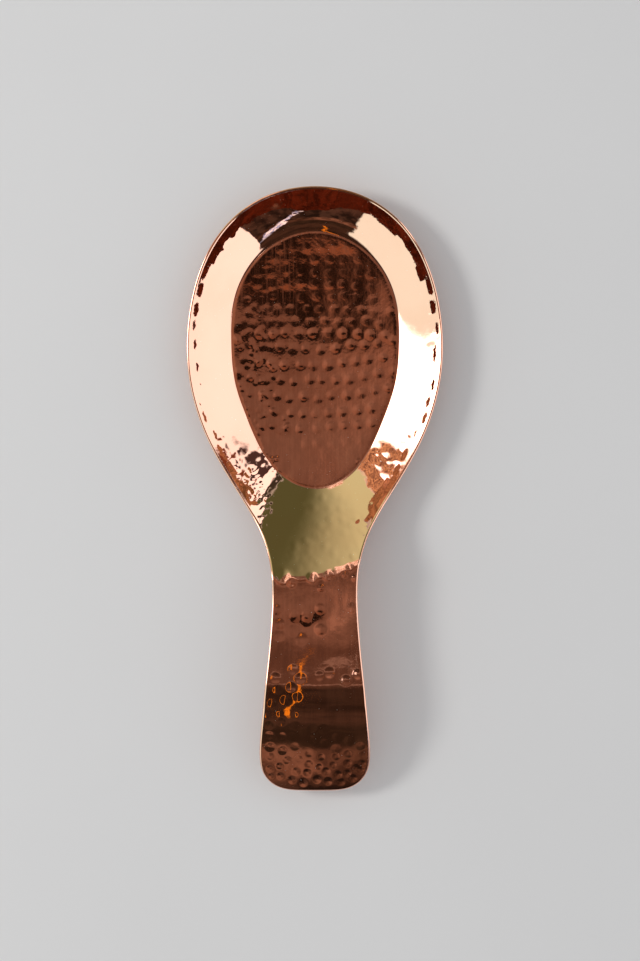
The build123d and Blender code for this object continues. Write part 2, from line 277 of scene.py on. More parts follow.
# ---- hammer dents --------------------------------------------------------
# Each dent is x, y, radius, depth and softness of its edge.
dents = [(-7.8, -108.8, 5.0, 0.080, 0.7)]


def blow(x, y, radius, depth, jitter=0.0, soft=0.5):
    """One dent, varied a little in place, size and depth."""
    shift_x, shift_y, wider, deeper = rng.normal(0, 1, 4)
    return (x + jitter * shift_x, y + jitter * shift_y,
            radius * (1 + 0.07 * wider), depth * (1 + 0.18 * deeper), soft)


def strike(points, **shape):
    dents.extend(blow(x, y, **shape) for x, y in points)


# radius, depth, jitter, softness, places
PLACED_BLOWS = [
    # heavy blows where the ramp bends into the handle
    (2.25, 0.30, 0.0, 0.30, [(-1.2, -95.3)]),
    (3.0, 0.34, 0.0, 0.45, [(-12.9, -94.9)]),
    (1.9, 0.20, 0.0, 0.40, [(5.3, -94.7), (-9.4, -97.4)]),
    (1.75, 0.10, 0.0, 0.25, [(2.5, -99.7)]),
    (1.5, 0.10, 0.3, 0.5, [
        (14.6, -91.0), (12.0, -94.2), (16.2, -95.6), (9.0, -92.4), (15.4, -87.0)]),
    # bowl half of the handle
    (2.35, 0.050, 0.0, 0.25, [
        (15.0, -107.8), (-3.2, -111.0), (-8.1, -111.4), (-14.1, -114.4), (-8.4, -116.8),
        (-3.4, -113.2), (2.3, -116.4), (-14.4, -119.0), (-5.4, -120.4), (-15.6, -108.6),
        (2.3, -108.4)]),
    (6.2, 0.130, 0.0, 0.7, [(-0.8, -107.8)]),
    # where the handle starts to drop
    (2.2, 0.060, 0.0, 0.3, [
        (17.4, -134.6), (5.9, -134.0), (1.9, -135.3), (-5.8, -136.2), (-15.9, -136.2),
        (12.6, -137.2), (-8.8, -132.6)]),
    (1.9, 0.12, 0.0, 0.35, [
        (-9.5, -139.9), (-15.2, -141.0), (-7.1, -143.7), (-17.2, -146.3), (-11.8, -145.0)]),
    (1.1, 0.05, 0.0, 0.4, [(-19.5, -151.4), (-14.2, -150.7), (-8.1, -151.1)]),
    # rows across the drop towards the tip
    (1.95, 0.045, 0.0, 0.35, [
        (-7.8, -155.7), (-1.1, -156.8), (3.6, -157.1), (-8.9, -160.1), (-1.4, -161.4),
        (3.9, -162.8), (-8.2, -164.5), (9.0, -160.6), (14.0, -162.0), (8.6, -165.6),
        (18.6, -164.4)]),
    (1.85, 0.13, 0.0, 0.3, [
        (-18.6, -155.7), (-13.5, -154.1), (-18.6, -159.8), (-13.2, -160.1), (-18.3, -164.8),
        (-13.2, -166.2)]),
    # tip
    (1.65, 0.075, 0.12, 0.4, [
        (-2.4, -167.6), (2.6, -168.9), (8.7, -168.9), (13.7, -167.6), (20.4, -167.9),
        (-18.3, -168.9), (-11.5, -170.6), (-6.6, -170.0), (1.9, -173.0), (7.3, -172.6),
        (13.3, -171.9), (19.4, -172.3), (17.0, -173.9), (-7.5, -175.3), (-3.4, -176.0),
        (-18.3, -173.9), (4.6, -175.0), (18.7, -174.9), (-14.4, -173.0), (-2.6, -172.2),
        (-14.0, -177.4), (-9.6, -179.2), (0.9, -179.0), (9.6, -176.6), (13.3, -176.2),
        (5.6, -179.6), (-4.6, -180.4), (10.8, -180.0), (15.6, -178.6), (-17.6, -177.6)]),
]
NECK_SIDES = [
    (24.5, -66.0), (27.5, -62.0), (21.0, -70.5), (24.5, -73.0), (28.0, -67.5),
    (19.5, -77.5), (-24.0, -66.0), (-21.5, -71.0), (-25.5, -71.0), (-27.5, -65.0),
    (-19.0, -76.0), (-22.0, -77.0), (-18.5, -82.0), (-21.0, -62.0), (-29.5, -60.5)]
NECK_LEFT = [(-31.6, -55.6), (-28.5, -61.1), (-33.9, -50.2), (-29.6, -57.6),
             (-35.9, -46.6), (-26.4, -64.6)]
# Rings round the wall: share of the way up from the crease, pitch, radius, depth
WALL_RINGS = ((0.20, 5.6, 1.9, 0.008), (0.43, 5.9, 2.0, 0.010),
              (0.66, 6.2, 2.0, 0.014), (0.80, 7.6, 1.9, 0.12))


def floor_half_width(y):
    return 34.0 * math.sqrt(max(1 - ((y - CREASE_Y) / 51.0) ** 2, 0.0))


def strike_floor():
    """Bowed rows, spaced wider along the bowl nearer the handle."""
    pitch = 5.8
    row = 0
    y = 40.5
    while y > -44.0:
        half = floor_half_width(y)
        x = -half + 1.5 + (pitch / 2 if row % 2 else 0.0)
        points = []
        while x < half - 0.5:
            points.append((x, y + 0.0035 * (x + 2) ** 2 * (1 if y < 0 else -0.4)))
            x += pitch
        depth = 0.034 if y > -38 else 0.012
        if 9 < y <= 30:
            depth = 0.016
        if y > 30:
            depth = 0.011
        strike(points, radius=1.95, depth=depth, jitter=0.42)
        y -= 5.1 if y > 5 else 6.6
        row += 1
    # finer, closer blows down the left of the floor
    for _ in range(70):
        y = rng.uniform(-42, 24)
        x = -floor_half_width(y) + rng.uniform(1.0, 17.0)
        strike([(x, y)], radius=1.3, depth=0.018 if y < 7 else 0.009, soft=0.6)


def strike_wall_ring(ring, share, pitch, radius, depth):
    """One ring of blows round the wall, following the crease."""
    outermost = ring == len(WALL_RINGS) - 1
    angle = np.linspace(0, 2.80, 3000)
    cx, cy, nx, ny, _, _ = crease(angle)
    out = reach_at(angle) * share
    path_x, path_y = cx + nx * out, cy + ny * out
    length = np.concatenate([[0], np.cumsum(np.hypot(np.diff(path_x), np.diff(path_y)))])
    at = np.arange((0.5 if ring % 2 else 0.0) * pitch, length[-1], pitch)
    xs, ys = np.interp(at, length, path_x), np.interp(at, length, path_y)
    tangent_x, tangent_y = (
        np.interp(at + 0.5, length, path) - np.interp(at - 0.5, length, path)
        for path in (path_x, path_y))
    for side in (-1, 1):
        for x, y, tx, ty in zip(xs, ys, tangent_x, tangent_y):
            neck = smoothstep(y, -36.0, -50.0)      # struck harder towards the neck
            far_end = smoothstep(y, 44.0, 56.0)     # and hardly at all at the far end
            local = (depth + (0.035 if side > 0 else 0.07) * neck) * (1 - 0.9 * far_end)
            dent = blow(side * x, y, radius, local, jitter=0.8 if outermost else 0.5)
            if not outermost:
                dents.append(dent)
                continue
            # each outer blow lands twice, side by side, and leaves a long mark
            dent_x, dent_y, dent_radius, dent_depth, soft = dent
            for shift in (-1.2, 1.2):
                dents.append((dent_x + shift * side * tx, dent_y + shift * ty,
                              dent_radius, 0.84 * dent_depth, soft))


def strike_neck():
    """Blows on the ramp and on the walls beside it."""
    strike(NECK_SIDES, radius=1.7, depth=0.075, jitter=0.5)
    for _ in range(46):
        for x_range, depth in (((17, 38), 0.032), ((-38, -15), 0.05)):
            x = rng.uniform(*x_range)
            y = rng.uniform(-80, -44)
            strike([(x, y)], radius=1.25, depth=depth)
    for _ in range(90):
        x = rng.uniform(-17, 17)
        y = rng.uniform(-92, -62)
        strike([(x, y)], radius=1.7, depth=0.030, soft=0.6)
    # a slanting patch of close, small blows on the left, and larger ones over it
    for _ in range(85):
        v = rng.uniform(0, 1)
        x = -27.5 + 9.0 * v + rng.uniform(-3.2, 3.2)
        y = -50.0 - 22.0 * v + rng.uniform(-2.5, 2.5)
        strike([(x, y)], radius=0.95, depth=0.060, soft=0.45)
    strike(NECK_LEFT, radius=1.5, depth=0.13, soft=0.4)


def make_waves():
    """Slow waves at four lengths: x and y frequency, phase, height."""
    waves = []
    for length, height in ((34.0, 0.020), (21.0, 0.010), (13.0, 0.0045), (8.5, 0.0018)):
        for _ in range(7):
            heading = rng.uniform(0, 2 * math.pi)
            kx = 2 * math.pi / (length * rng.uniform(0.8, 1.25)) * math.cos(heading)
            ky = 2 * math.pi / (length * rng.uniform(0.8, 1.25)) * math.sin(heading)
            waves.append((kx, ky, rng.uniform(0, 2 * math.pi), height / 2.6))
    return waves


# The calls share one random generator, so their order matters.
for radius, depth, jitter, soft, points in PLACED_BLOWS:
    strike(points, radius=radius, depth=depth, jitter=jitter, soft=soft)
strike_floor()
for ring, settings in enumerate(WALL_RINGS):
    strike_wall_ring(ring, *settings)
strike_neck()
WAVES = make_waves()


def dent_field(x, y):
    total = np.zeros_like(x)
    order = np.argsort(y)
    sorted_y = y[order]
    for dent_x, dent_y, radius, depth, soft in dents:
        low, high = np.searchsorted(sorted_y, (dent_y - 1.6 * radius, dent_y + 1.6 * radius))
        near = order[low:high]
        q = 1 - ((x[near] - dent_x) ** 2 + (y[near] - dent_y) ** 2) / (radius * radius)
        # a paraboloid with a softened edge, faded to nothing just outside it
        bowl = 0.5 * (q + np.sqrt(q * q + soft * soft)) - 0.25 * soft * soft / 1.55
        total[near] -= depth * np.maximum(bowl, 0) * smoothstep(q, -1.56, -0.96)
    return total


def ripple(x, y):
    """Slow unevenness left by the planishing, stronger on the handle."""
    total = np.zeros_like(x)
    for kx, ky, phase, height in WAVES:
        total += height * np.sin(kx * x + ky * y + phase)
    return total * (1.0 + 1.2 * smoothstep(y, -96.0, -108.0))


def hammering(x, y):
    return dent_field(x, y) + ripple(x, y)


# ---- plan mesh -----------------------------------------------------------
def mirrored(x, y):
    """A half curve followed by its mirror image, without repeating its ends."""
    return np.vstack([np.column_stack([x, y]), np.column_stack([-x[1:-1], y[1:-1]])])


edge_steps = int(OUTLINE_LENGTH / 0.62)
edge_x, edge_y = rim(np.linspace(0, OUTLINE_LENGTH, edge_steps + 1), rounded=True)
loop = np.vstack([np.column_stack([edge_x, edge_y]),
                  np.column_stack([-edge_x[-2:0:-1], edge_y[-2:0:-1]])])
n_loop = len(loop)
fine_edge = mirrored(*rim(np.linspace(0, OUTLINE_LENGTH, n_loop * 2 + 1), rounded=True))
edge_tree = KDTree(len(fine_edge))
for i, (x, y) in enumerate(fine_edge):
    edge_tree.insert((x, y, 0), i)
edge_tree.balance()


def inside(points):
    """Even-odd test against the edge loop."""
    x, y = points.T
    hit = np.zeros(len(points), bool)
    for (xa, ya), (xb, yb) in zip(loop, np.roll(loop, -1, 0)):
        if ya == yb:
            continue
        crossed = (ya > y) != (yb > y)
        crossed &= x < (xb - xa) * (y - ya) / (yb - ya) + xa
        hit ^= crossed
    return hit


def hex_grid(x0, x1, y0, y1, pitch):
    row_pitch = 0.8660254
    rows = int((y1 - y0) / (pitch * row_pitch)) + 1
    grid = []
    for j in range(rows):
        xs = np.arange(x0 + (0.5 * pitch if j % 2 else 0.0), x1, pitch)
        grid.append(np.column_stack([xs, np.full(len(xs), y0 + j * pitch * row_pitch)]))
    return np.vstack(grid)


def plan(bowl_pitch, handle_pitch, ring_offsets):
    """Triangulated plan of the sheet: points, triangles, distance to the edge.
    Rings of points at the given offsets follow the crease."""
    points = np.vstack([hex_grid(-53, 53, -99.9, 65, bowl_pitch),
                        hex_grid(-24, 24, -185, -100.0, handle_pitch)])
    points = points[inside(points)]
    to_edge = np.array([edge_tree.find((x, y, 0))[2] for x, y in points])
    pitch = np.where(points[:, 1] < -100, handle_pitch, bowl_pitch)
    keep = to_edge > 0.6 * pitch
    points, to_edge = points[keep], to_edge[keep]

    angle = np.linspace(0, math.pi, int(290 / bowl_pitch) // 2 + 1)
    cx, cy, nx, ny, _, _ = crease(angle)
    rings = []
    for offset in ring_offsets:
        ring_x, ring_y = cx + nx * offset, cy + ny * offset
        ring_x[0] = ring_x[-1] = 0.0
        rings.append(mirrored(ring_x, ring_y))
    rings = np.vstack(rings)
    _, distance, *_ = nearest(np.abs(points[:, 0]), points[:, 1])
    low, high = min(ring_offsets) - 0.5 * bowl_pitch, max(ring_offsets) + 0.5 * bowl_pitch
    keep = ~((distance > low) & (distance < high))
    points = np.vstack([loop, points[keep], rings])
    # the rings are far enough in for any edge fade to be over
    to_edge = np.concatenate([np.zeros(n_loop), to_edge[keep], np.full(len(rings), 9.0)])

    edges = [(i, (i + 1) % n_loop) for i in range(n_loop)]
    _, _, faces, sources, _, _ = delaunay_2d_cdt(
        [Vector(point) for point in points], edges, [], 1, 1e-5)
    source = np.array([origins[0] for origins in sources])
    triangles = np.array([[source[i] for i in face] for face in faces])
    a, b, c = (points[triangles[:, i]] for i in range(3))
    area = ((b[:, 0] - a[:, 0]) * (c[:, 1] - a[:, 1])
            - (b[:, 1] - a[:, 1]) * (c[:, 0] - a[:, 0]))
    triangles[area < 0] = triangles[area < 0][:, ::-1]
    return points, triangles, to_edge


# ---- sheet mesh ----------------------------------------------------------
def gradient(height, x, y, step=0.06):
    return ((height(x + step, y) - height(x - step, y)) / (2 * step),
            (height(x, y + step) - height(x, y - step)) / (2 * step))


def normalised(vectors):
    return vectors / np.linalg.norm(vectors, axis=1)[:, None]


def slope_normals(slope_x, slope_y):
    return normalised(np.column_stack([-slope_x, -slope_y, np.ones_like(slope_x)]))


def hammered_face(points, to_edge, fade_width, show, step):
    """Undented height and normals, then relief and normals with the hammering,
    which fades out at the polished edge."""
    x, y = points.T
    slope_x, slope_y = gradient(base_z, x, y)
    dent_x, dent_y = gradient(hammering, x, y, step)
    fade = smoothstep(to_edge, 0.0, fade_width) * show
    return (base_z(x, y), slope_normals(slope_x, slope_y), hammering(x, y) * fade,
            slope_normals(slope_x + dent_x * fade, slope_y + dent_y * fade))


def sheet_geometry():
    """Vertices, normals and triangles of the top, the underside and the edge."""
    points, top_triangles, to_edge = plan(0.60, 0.46, ring_offsets=(-0.5, -0.17, 0.17, 0.5))
    z, base_normals, relief, top_normals = hammered_face(
        points, to_edge, fade_width=0.9, show=1.0, step=0.06)
    top = np.column_stack([points, z + relief])
    rim_points, rim_normals = top[:n_loop], base_normals[:n_loop]

    points, low_triangles, to_edge = plan(1.0, 0.9, ring_offsets=(-0.5, 0.0, 0.5))
    z, base_normals, relief, low_normals = hammered_face(
        points, to_edge, fade_width=1.6, show=SHOW_BELOW, step=0.25)
    low = np.column_stack([points, z]) + base_normals * (relief - SHEET_T)[:, None]

    # half-elliptical edge between the two faces
    tangent = normalised(np.roll(rim_points, -1, 0) - np.roll(rim_points, 1, 0))
    outward = normalised(np.cross(rim_normals, tangent))
    half = SHEET_T / 2
    vertices, normals = [top, low], [top_normals, -low_normals]
    for k in range(1, EDGE_RINGS):
        angle = math.pi * k / EDGE_RINGS
        sin, cos = math.sin(angle), math.cos(angle)
        vertices.append(rim_points - rim_normals * (half * (1 - cos))
                        + outward * (EDGE_BULGE * sin))
        normals.append(normalised(rim_normals * (cos / half) + outward * (sin / EDGE_BULGE)))

    ids = np.arange(n_loop)
    first = len(top) + len(low)
    rings = [ids, *(first + k * n_loop + ids for k in range(EDGE_RINGS - 1)), len(top) + ids]
    triangles = [top_triangles, (low_triangles + len(top))[:, ::-1]]
    for upper, lower in zip(rings, rings[1:]):
        upper_next, lower_next = np.roll(upper, -1), np.roll(lower, -1)
        triangles.append(np.column_stack([lower_next, lower, upper]))
        triangles.append(np.column_stack([upper_next, lower_next, upper]))
    return np.vstack(vertices), np.vstack(normals), np.vstack(triangles)


def add_object(name, data):
    made = bpy.data.objects.new(name, data)
    bpy.context.scene.collection.objects.link(made)
    return made


def build_sheet():
    vertices, normals, triangles = sheet_geometry()
    mesh = bpy.data.meshes.new("hammered_copper_sheet")
    mesh.vertices.add(len(vertices))
    mesh.vertices.foreach_set("co", (vertices / 1000).astype(np.float32).ravel())
    mesh.loops.add(len(triangles) * 3)
    mesh.loops.foreach_set("vertex_index", triangles.astype(np.int32).ravel())
    mesh.polygons.add(len(triangles))
    mesh.polygons.foreach_set("loop_start", (np.arange(len(triangles)) * 3).astype(np.int32))
    mesh.update(calc_edges=True)
    mesh.validate()
    mesh.polygons.foreach_set("use_smooth", np.ones(len(mesh.polygons), bool))
    mesh.normals_split_custom_set_from_vertices([tuple(normal) for normal in normals])
    return add_object("hammered_copper_sheet", mesh)


# ---- shader nodes --------------------------------------------------------
def feed(socket, value):
    """Link a signal to an input, or set the input to a number or an RGB colour."""
    if isinstance(value, Signal):
        socket.id_data.links.new(value.socket, socket)
    else:
        socket.default_value = (*value, 1.0) if hasattr(value, "__len__") else value


def add_node(tree, kind, inputs=None, **settings):
    node = tree.nodes.new(kind)
    for name, value in settings.items():
        setattr(node, name, value)
    for key, value in (inputs or {}).items():
        feed(node.inputs[key], value)
    return node


def math_method(operation, swapped=False):
    """A method that adds a Math node; swapped puts the signal last."""
    def method(self, *others):
        operands = (*others, self) if swapped else (self, *others)
        inputs = dict(enumerate(operands))
        return self.derive("ShaderNodeMath", inputs, operation=operation)
    return method


class Signal:
    """A node output. Operators and methods on it add further nodes."""

    def __init__(self, socket):
        self.socket = socket

    def derive(self, kind, inputs, output=0, **settings):
        node = add_node(self.socket.id_data, kind, inputs, **settings)
        return Signal(node.outputs[output])

    __add__ = math_method("ADD")
    __radd__ = math_method("ADD", swapped=True)
    __sub__ = math_method("SUBTRACT")
    __rsub__ = math_method("SUBTRACT", swapped=True)
    __mul__ = math_method("MULTIPLY")
    __rmul__ = math_method("MULTIPLY", swapped=True)
    __truediv__ = math_method("DIVIDE")
    __pow__ = math_method("POWER")
    __abs__ = math_method("ABSOLUTE")
    __lt__ = math_method("LESS_THAN")
    __gt__ = math_method("GREATER_THAN")
    minimum = math_method("MINIMUM")
    maximum = math_method("MAXIMUM")
    arctan2 = math_method("ARCTAN2")
    arcsine = math_method("ARCSINE")
    sqrt = math_method("SQRT")

    def ramp(self, over, to=(0.0, 1.0), kind="SMOOTHSTEP"):
        """Map the range over (which may run downwards) to the range to."""
        inputs = {"Value": self, "From Min": over[0], "From Max": over[1],
                  "To Min": to[0], "To Max": to[1]}
        return self.derive("ShaderNodeMapRange", inputs, "Result",
                           interpolation_type=kind, clamp=True)

    def fall(self, over):
        return 1.0 - self.ramp(over)

    def mix(self, low, high):
        """Colour low where the signal is 0, high where it is 1."""
        return self.derive("ShaderNodeMix", {0: self, 6: low, 7: high}, output=2,
                           data_type="RGBA", blend_type="MIX")

    def tint(self, other):
        return self.derive("ShaderNodeMix", {0: 1.0, 6: self, 7: other}, output=2,
                           data_type="RGBA", blend_type="MULTIPLY")

    def noise(self, scale=1.0, detail=2.0, rough=0.5):
        inputs = {"Vector": self, "Scale": scale, "Detail": detail, "Roughness": rough}
        return self.derive("ShaderNodeTexNoise", inputs, "Fac")

    def scaled(self, *factors):
        node = add_node(self.socket.id_data, "ShaderNodeVectorMath", {0: self},
                        operation="MULTIPLY")
        node.inputs[1].default_value = factors
        return Signal(node.outputs[0])

    def split(self):
        node = add_node(self.socket.id_data, "ShaderNodeSeparateXYZ", {0: self})
        return [Signal(output) for output in node.outputs]


def source(tree, kind, output):
    return Signal(add_node(tree, kind).outputs[output])


# ---- copper --------------------------------------------------------------
def copper_material():
    """Polished copper; places are in metres, as seen in the object."""
    material = bpy.data.materials.new("polished_copper")
    material.use_nodes = True
    tree = material.node_tree
    tree.nodes.clear()
    position = source(tree, "ShaderNodeTexCoord", "Object")
    place_x, place_y, _ = position.split()
    normal_z = source(tree, "ShaderNodeNewGeometry", "Normal").split()[2]
    flat = normal_z.ramp(over=(0.86, 0.97))

    # slow clouds and tiny pale specks
    cloud = position.noise(scale=38.0, detail=3.0, rough=0.55)
    colour = cloud.ramp(over=(0.35, 0.7)).mix(low=(0.955, 0.545, 0.405),
                                              high=(0.945, 0.515, 0.375))
    speck = position.noise(scale=1500.0, detail=1.0).ramp(over=(0.765, 0.80))
    colour = speck.mix(colour, high=(0.99, 0.86, 0.76))

    # faint streaks along the length and cloudier patches on the level parts
    lane = position.scaled(900.0, 26.0, 60.0).noise(detail=4.0, rough=0.6)
    haze = position.scaled(260.0, 130.0, 160.0).noise(detail=3.0, rough=0.6)
    tone = (lane.ramp(over=(0.34, 0.66), to=(0.94, 1.04))
            * haze.ramp(over=(0.34, 0.66), to=(0.91, 1.07)))
    tone = 1.0 + (tone - 1.0) * flat

    # roughness: base, clouds, worn streaks and specks
    streak = position.scaled(1400.0, 55.0, 300.0).noise(detail=3.0, rough=0.6)
    worn = position.scaled(60.0, 14.0, 30.0).noise().ramp(over=(0.42, 0.68))
    rough = (0.024 + flat * 0.014) + cloud.ramp(over=(0.3, 0.8)) * 0.022
    rough = rough + (streak.ramp(over=(0.45, 0.75)) * (worn * flat)) * 0.09
    rough = rough + speck * 0.3

    # brushed marks right of the middle: at the bend, and at the foot of the ramp
    brush = position.scaled(1100.0, 60.0, 200.0).noise(detail=3.0, rough=0.65)
    scuff = place_x.ramp(over=(0.000, 0.010)) * (
        place_y.ramp(over=(-0.117, -0.101)) * place_y.ramp(over=(-0.086, -0.092)))
    scuff = scuff * brush.ramp(over=(0.46, 0.66))
    foot = place_x.ramp(over=(-0.012, 0.006)) * place_y.ramp(over=(-0.040, -0.056)) * flat
    foot = foot * place_y.ramp(over=(-0.064, -0.060))
    rough = rough + (scuff * 0.17 + foot * brush.ramp(over=(0.30, 0.62), to=(0.03, 0.11)))

    # micrometre-deep relief: streaks, then a fine grain
    streaks = position.derive("ShaderNodeBump", {
        "Strength": 1.0, "Distance": 0.0000012, "Height": streak * flat * (0.25 + worn)})
    grain = position.derive("ShaderNodeBump", {
        "Strength": 1.0, "Distance": 0.000012, "Height": position.noise(scale=420.0),
        "Normal": streaks})
    bsdf = add_node(tree, "ShaderNodeBsdfPrincipled", {
        "Metallic": 1.0, "Base Color": colour.tint(tone), "Roughness": rough,
        "Normal": grain})
    add_node(tree, "ShaderNodeOutputMaterial", {"Surface": Signal(bsdf.outputs["BSDF"])})
    return material


sheet = build_sheet()
sheet.data.materials.append(copper_material())
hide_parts("spoon_rest_body")
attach(sheet, "root")


# ---- floor ---------------------------------------------------------------
def build_floor():
    """Pale square, just below the sheet."""
    half, z = 6, -0.00012
    mesh = bpy.data.meshes.new("studio_floor")
    corners = [(-half, -half, z), (half, -half, z), (half, half, z), (-half, half, z)]
    mesh.from_pydata(corners, [], [(0, 1, 2, 3)])
    made = add_object("studio_floor", mesh)
    material = bpy.data.materials.new("pale_floor")
    material.use_nodes = True
    bsdf = material.node_tree.nodes["Principled BSDF"]
    cloud = source(material.node_tree, "ShaderNodeTexCoord", "Object").noise(
        scale=9.0, detail=4.0)
    feed(bsdf.inputs["Base Color"],
         cloud.mix(low=(0.74, 0.735, 0.725), high=(0.77, 0.765, 0.755)))
    bsdf.inputs["Roughness"].default_value = 0.65
    bsdf.inputs["Specular IOR Level"].default_value = 0.25
    mesh.materials.append(material)
    return made


build_floor()

# ---- studio seen in the copper -------------------------------------------
world = bpy.data.worlds.new("studio")
bpy.context.scene.world = world
world.use_nodes = True
sky = world.node_tree
sky.nodes.clear()
direction = source(sky, "ShaderNodeTexCoord", "Generated")
to_x, to_y, up = direction.split()
# degrees: azimuth runs 0 to 360 from +X through +Y, elevation from the horizon
azimuth = to_y.arctan2(to_x) * (180 / math.pi)
azimuth = azimuth + (azimuth < 0.0) * 360.0
elevation = up.maximum(-1.0).minimum(1.0).arcsine() * (180 / math.pi)
# place on a flat ceiling one unit up: across is +X, along is +Y
ceiling_up = up.maximum(0.05)
across, along = to_x / ceiling_up, to_y / ceiling_up
overhead = 0.5           # least upward component for the marks on the ceiling


def wobble(amount, **texture):
    return (direction.noise(**texture) - 0.5) * amount


def band(angle, start, end, soft=2.0):
    return (angle.ramp(over=(start - soft, start + soft))
            * angle.fall(over=(end - soft, end + soft)))


def dark_side():
    """The dark handle side (-Y), changing with height and mottled."""
    dark = elevation.ramp(over=(4.0, 16.0)).mix(low=(0.060, 0.034, 0.024),
                                                high=(0.045, 0.028, 0.020))
    middle = azimuth.ramp(over=(262.0, 280.0)).mix(low=(0.190, 0.104, 0.068),
                                                   high=(0.080, 0.043, 0.027))
    dark = elevation.ramp(over=(19.0, 23.0)).mix(dark, middle)
    top = elevation.ramp(over=(36.0, 44.0)).mix(low=(0.038, 0.024, 0.015),
                                                high=(0.054, 0.031, 0.020))
    dark = elevation.ramp(over=(27.0, 29.6)).mix(dark, top)
    strong, weak = (
        direction.noise(scale=9.0, detail=3.0, rough=0.6).ramp(over=(0.35, 0.65), to=to)
        for to in ((0.4, 1.5), (0.75, 1.25)))
    return dark.tint(elevation.ramp(over=(22.0, 28.0)).mix(strong, weak))


def walls():
    """Upright bands of colour round the horizon."""
    wall_azimuth = azimuth + wobble(14.0, scale=2.6, detail=3.0)
    cream = (1.40, 1.44, 1.46)
    above = band(wall_azimuth, 29.5, 37, soft=1.0) * elevation.ramp(over=(9.0, 12.0))
    colour = above.mix(cream, high=(0.075, 0.045, 0.042))
    below = band(wall_azimuth, 30.5, 35.5, soft=1.0) * elevation.ramp(over=(8.0, 6.0))
    colour = below.mix(colour, high=(0.20, 0.065, 0.028))
    olive = azimuth.ramp(over=(80.0, 124.0)).mix(low=(0.10, 0.125, 0.050),
                                                 high=(0.68, 0.84, 0.50))
    mottle = direction.noise(scale=42.0, detail=3.0, rough=0.65).ramp(over=(0.38, 0.62))
    tan = mottle.mix(low=(0.22, 0.115, 0.075), high=(0.85, 0.50, 0.26))
    bands = (     # start and end azimuth, softness, colour
        (37, 46, 1.0, (1.6, 1.6, 1.6)),
        (46, 51, 1.0, (0.05, 0.045, 0.03)),
        (51, 139, 2.0, olive),
        (139, 150.5, 2.0, tan),
        (150.5, 181, 2.0, (5.0, 5.0, 5.0)),
        (181, 253, 3.0, (1.05, 1.30, 1.24)),
        (240, 316, 1.0, dark_side()))
    for start, end, soft, band_colour in bands:
        colour = band(wall_azimuth, start, end, soft).mix(colour, band_colour)
    return colour


def ceiling():
    """Dim and warm, lighter towards the far side, dark towards the handle."""
    colour = along.ramp(over=(0.095, 0.0)).mix(low=(0.168, 0.078, 0.046),
                                               high=(0.205, 0.115, 0.080))
    colour = along.ramp(over=(-0.006, -0.056)).mix(colour, high=(0.112, 0.058, 0.038))
    lit = (across.ramp(over=(0.0, 0.030), to=(0.0, 0.62), kind="LINEAR")
           * along.ramp(over=(-0.012, 0.003)))
    colour = colour.tint(1.0 + lit)
    ember = abs(along - 0.0975).fall(over=(0.004, 0.009)) * (
        abs(across).fall(over=(0.016, 0.030))
        * direction.noise(scale=150.0).ramp(over=(0.46, 0.62), to=(0.0, 0.60)))
    colour = ember.mix(colour, high=(0.46, 0.125, 0.030))
    patches = direction.noise(scale=11.0).ramp(over=(0.38, 0.62)).mix(
        low=(0.15, 0.090, 0.060), high=(0.36, 0.25, 0.20))
    colour = along.ramp(over=(0.098, 0.30)).mix(colour, patches)
    mottle = direction.noise(scale=7.0, detail=3.0, rough=0.6).ramp(
        over=(0.35, 0.65), to=(0.70, 1.30))
    handle_side = along.ramp(over=(-0.5, -1.2)).mix(low=(0.038, 0.022, 0.014),
                                                    high=(0.052, 0.029, 0.018))
    return along.ramp(over=(-0.080, -0.200)).mix(colour, handle_side.tint(mottle))


def add_shine(colour):
    """Broken window light on the far side, caught at the right end of the bend."""
    mask = band(azimuth, 105, 122) * (
        elevation.ramp(over=(27.0, 33.0)) * elevation.fall(over=(70.0, 78.0)))
    light = direction.noise(scale=26.0, detail=3.0, rough=0.6).ramp(over=(0.42, 0.56)).mix(
        low=(0.52, 0.20, 0.06), high=(1.5, 1.4, 1.3))
    return mask.mix(colour, light)


def add_cold_line(colour):
    """Thin slanting cold light in the dark side, widening upwards."""
    centre = 283.5 + (elevation - 12.0) * 1.15
    offset = abs(azimuth + wobble(16.0, scale=8.0, detail=3.0, rough=0.6) - centre)
    width = elevation.ramp(over=(12.0, 30.0), to=(1.7, 7.5))
    mask = (offset / width).fall(over=(0.55, 1.0)) * (
        elevation.ramp(over=(6.0, 12.0)) * elevation.fall(over=(33.0, 38.0)))
    mask = mask * direction.noise(scale=24.0).fall(over=(0.60, 0.66))
    cold = direction.noise(scale=16.0, detail=3.0, rough=0.65).ramp(over=(0.40, 0.60)).mix(
        low=(0.42, 0.58, 1.05), high=(1.35, 1.45, 1.60))
    return mask.mix(colour, cold)


def add_dark_patch(colour):
    """Rounded dark patch almost straight overhead."""
    offset_x, offset_y = (across + 0.010) / 0.042, (along - 0.0705) / 0.0155
    radius = (abs(offset_x) ** 3.0 + abs(offset_y) ** 3.0).sqrt() + wobble(0.5, scale=38.0)
    mask = radius.fall(over=(0.95, 1.30)) * (up > overhead)
    mask = mask * across.ramp(over=(-0.004, 0.034), to=(1.0, 0.35))
    return mask.mix(colour, high=(0.012, 0.006, 0.0035))


def add_pale_strip(colour):
    """Thin pale strip across the ceiling, on the handle side."""
    centre = -0.100 + wobble(0.02, scale=22.0)
    mask = abs(along - centre).fall(over=(0.004, 0.012)) * (
        across.ramp(over=(-0.26, -0.20)) * across.fall(over=(0.20, 0.26)))
    return (mask * (up > overhead)).mix(colour, high=(0.27, 0.175, 0.135))


